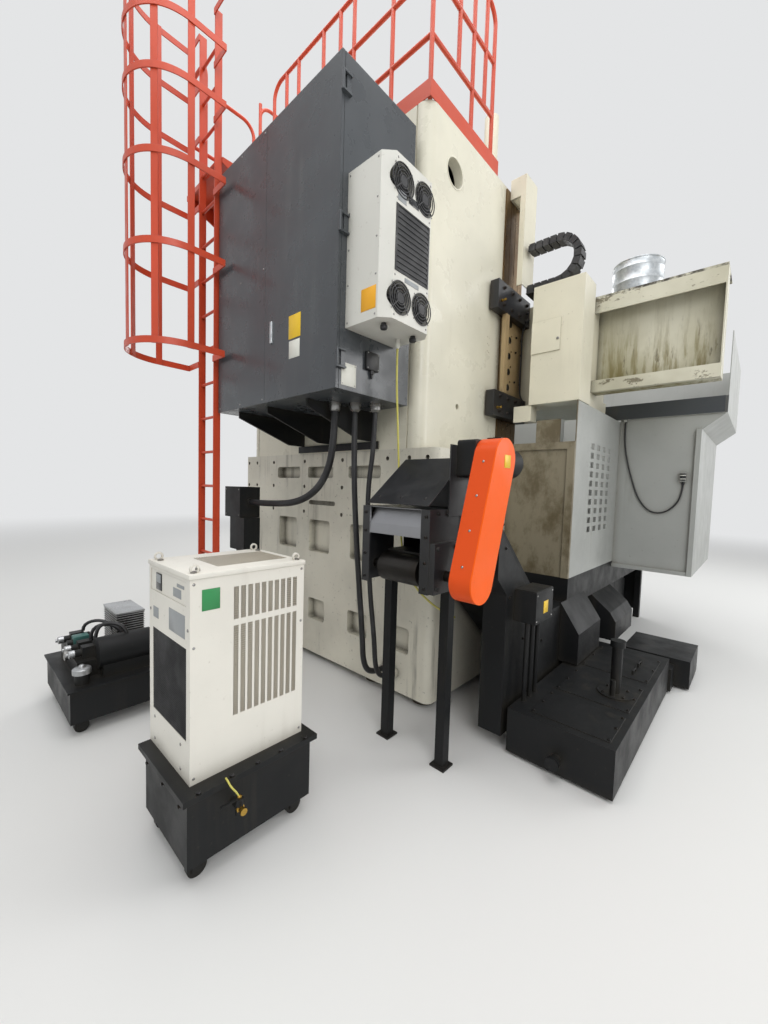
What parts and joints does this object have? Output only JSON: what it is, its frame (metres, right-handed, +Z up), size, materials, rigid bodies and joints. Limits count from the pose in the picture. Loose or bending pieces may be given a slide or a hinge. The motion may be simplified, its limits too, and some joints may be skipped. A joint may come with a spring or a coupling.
{
  "type": "vertical turret lathe",
  "caption": "Single-column vertical turning machine with crossrail, ram and turret, sheet enclosure, rear cabinet, chip conveyor, ladder and guardrails.",
  "frame": {"origin": "on the floor under the work table's axis, at the middle of the centre foot", "axes": "+X to the operator's right, +Y from the operator to the column and the conveyor's discharge end, +Z up along the table's axis"},
  "size_m": [5.526, 6.546, 5.697],
  "materials": {
    "cream_paint": "satin paint",
    "base_paint": "satin paint with oil stains",
    "ground_steel": "ground and oiled",
    "plate_steel": "bare, browned",
    "charcoal_paint": "textured paint",
    "black_paint": "satin paint",
    "rail_paint": "gloss paint",
    "guard_paint": "gloss paint",
    "panel_paint": "satin paint",
    "ac_paint": "textured paint",
    "chiller_paint": "textured paint",
    "galvanised": "galvanised",
    "casting": "turned",
    "jaw_steel": "ground",
    "black_plastic": "moulded",
    "black_rubber": "ribbed",
    "hose_plastic": "translucent",
    "red_plastic": "moulded",
    "green_plastic": "moulded",
    "window_glass": "clear"
  },
  "bodies": {
    "frame": {"levelling_feet": "ground_steel", "base_casting": "base_paint", "column_casting": "cream_paint", "column_ways": "ground_steel", "rail_drive": "cream_paint", "column_covers": "cream_paint", "guardrails": "rail_paint", "access_ladder": "rail_paint", "ladder_cage": "rail_paint", "cabinet_shell": "charcoal_paint", "cabinet_brackets": "black_paint", "cabinet_panel": "charcoal_paint", "ac_housing": "ac_paint", "ac_grilles": "black_plastic", "enclosure_sides": "panel_paint", "enclosure_front": "panel_paint", "chip_pan": "black_paint", "coolant_tank": "black_paint", "conveyor_casing": "black_paint", "conveyor_hood": "black_paint", "chain_guard": "guard_paint", "conveyor_gearmotor": "black_paint", "junction_boxes": "black_paint", "conduit_1": "black_rubber", "conduit_2": "black_rubber", "conduit_3": "black_rubber", "drain_hose": "hose_plastic", "wing_cable": "black_rubber", "chiller_housing": "chiller_paint", "chiller_cart": "black_paint", "hydraulic_unit": "black_paint"},
    "crossrail": {"crossrail_casting": "cream_paint", "rail_clamps": "plate_steel", "rail_end_boxes": "cream_paint", "rail_guard_box": "cream_paint", "cable_chain": "black_plastic"},
    "saddle_body": {"saddle": "cream_paint"},
    "ram_body": {"ram": "ground_steel"},
    "turret_body": {"turret": "jaw_steel"},
    "table": {"worktable": "casting"},
    "jaw_body_1": {"jaw_1": "jaw_steel"},
    "jaw_body_2": {"jaw_2": "jaw_steel"},
    "jaw_body_3": {"jaw_3": "jaw_steel"},
    "jaw_body_4": {"jaw_4": "jaw_steel"},
    "left_door": {"door_left": "panel_paint", "glass_left": "window_glass"},
    "right_door": {"door_right": "panel_paint", "glass_right": "window_glass"},
    "cabinet_door": {"cabinet_door_wide": "charcoal_paint"},
    "door_handle": {"cabinet_handle": "galvanised"},
    "fan_1": {"ac_fan_1": "black_plastic"},
    "fan_2": {"ac_fan_2": "black_plastic"},
    "fan_3": {"ac_fan_3": "black_plastic"},
    "fan_4": {"ac_fan_4": "black_plastic"},
    "head_shaft": {"conveyor_shaft": "ground_steel"},
    "arm": {"pendant_arm": "panel_paint"},
    "pendant": {"pendant_box": "panel_paint"},
    "estop": {"estop_button": "red_plastic"},
    "start": {"start_button": "green_plastic"},
    "override": {"override_knob": "black_plastic"}
  },
  "joints": [
    {"name": "crossrail_lift", "type": "slide", "parent": "frame", "child": "crossrail", "axis": [0, 0, 1], "range_m": [0, 0.7]},
    {"name": "saddle_traverse", "type": "slide", "parent": "crossrail", "child": "saddle_body", "axis": [1, 0, 0], "range_m": [-1.1, 1.1]},
    {"name": "ram_feed", "type": "slide", "parent": "saddle_body", "child": "ram_body", "axis": [0, 0, 1], "range_m": [-0.56, 0]},
    {"name": "turret_index", "type": "hinge", "parent": "ram_body", "child": "turret_body", "pos_m": [0, 0, 2], "axis": [0, 0, 1], "continuous": true},
    {"name": "table_spin", "type": "hinge", "parent": "frame", "child": "table", "pos_m": [0, 0, 1], "axis": [0, 0, 1], "continuous": true},
    {"name": "jaw_1_travel", "type": "slide", "parent": "table", "child": "jaw_body_1", "axis": [0.7071, 0.7071, 0], "range_m": [-0.2, 0.25]},
    {"name": "jaw_2_travel", "type": "slide", "parent": "table", "child": "jaw_body_2", "axis": [-0.7071, 0.7071, 0], "range_m": [-0.2, 0.25]},
    {"name": "jaw_3_travel", "type": "slide", "parent": "table", "child": "jaw_body_3", "axis": [-0.7071, -0.7071, 0], "range_m": [-0.2, 0.25]},
    {"name": "jaw_4_travel", "type": "slide", "parent": "table", "child": "jaw_body_4", "axis": [0.7071, -0.7071, 0], "range_m": [-0.2, 0.25]},
    {"name": "left_door_slide", "type": "slide", "parent": "frame", "child": "left_door", "axis": [-1, 0, 0], "range_m": [0, 1.15]},
    {"name": "right_door_slide", "type": "slide", "parent": "frame", "child": "right_door", "axis": [1, 0, 0], "range_m": [0, 1.15]},
    {"name": "cabinet_door_hinge", "type": "hinge", "parent": "frame", "child": "cabinet_door", "pos_m": [-1.112, 3.347, 3.2], "axis": [0, 0, 1], "range_deg": [0, 105]},
    {"name": "door_handle_turn", "type": "hinge", "parent": "cabinet_door", "child": "door_handle", "pos_m": [-0.392, 3.347, 2.729], "axis": [0, -1, 0], "range_deg": [0, 90]},
    {"name": "fan_1_spin", "type": "hinge", "parent": "frame", "child": "fan_1", "pos_m": [-1.4, 3.155, 3.39], "axis": [1, 0, 0], "continuous": true},
    {"name": "fan_2_spin", "type": "hinge", "parent": "frame", "child": "fan_2", "pos_m": [-1.4, 2.955, 3.39], "axis": [1, 0, 0], "continuous": true},
    {"name": "fan_3_spin", "type": "hinge", "parent": "frame", "child": "fan_3", "pos_m": [-1.4, 3.155, 2.745], "axis": [1, 0, 0], "continuous": true},
    {"name": "fan_4_spin", "type": "hinge", "parent": "frame", "child": "fan_4", "pos_m": [-1.4, 2.955, 2.745], "axis": [1, 0, 0], "continuous": true},
    {"name": "head_shaft_spin", "type": "hinge", "parent": "frame", "child": "head_shaft", "pos_m": [-1.5, 3.11, 1.175], "axis": [1, 0, 0], "continuous": true},
    {"name": "arm_swing", "type": "hinge", "parent": "frame", "child": "arm", "pos_m": [2.08, -1.51, 2.7], "axis": [0, 0, 1], "range_deg": [-45, 45]},
    {"name": "pendant_swivel", "type": "hinge", "parent": "arm", "child": "pendant", "pos_m": [2.08, -1.97, 1.9], "axis": [0, 0, 1], "range_deg": [-60, 60]},
    {"name": "estop_press", "type": "slide", "parent": "pendant", "child": "estop", "axis": [0, 1, 0], "range_m": [0, 0.005], "stiffness_N_per_m": 600, "springref_m": -0.001},
    {"name": "start_press", "type": "slide", "parent": "pendant", "child": "start", "axis": [0, 1, 0], "range_m": [0, 0.005], "stiffness_N_per_m": 400, "springref_m": -0.001},
    {"name": "override_turn", "type": "hinge", "parent": "pendant", "child": "override", "pos_m": [1.98, -2.05, 1.45], "axis": [0, 1, 0], "range_deg": [-150, 150]}
  ]
}
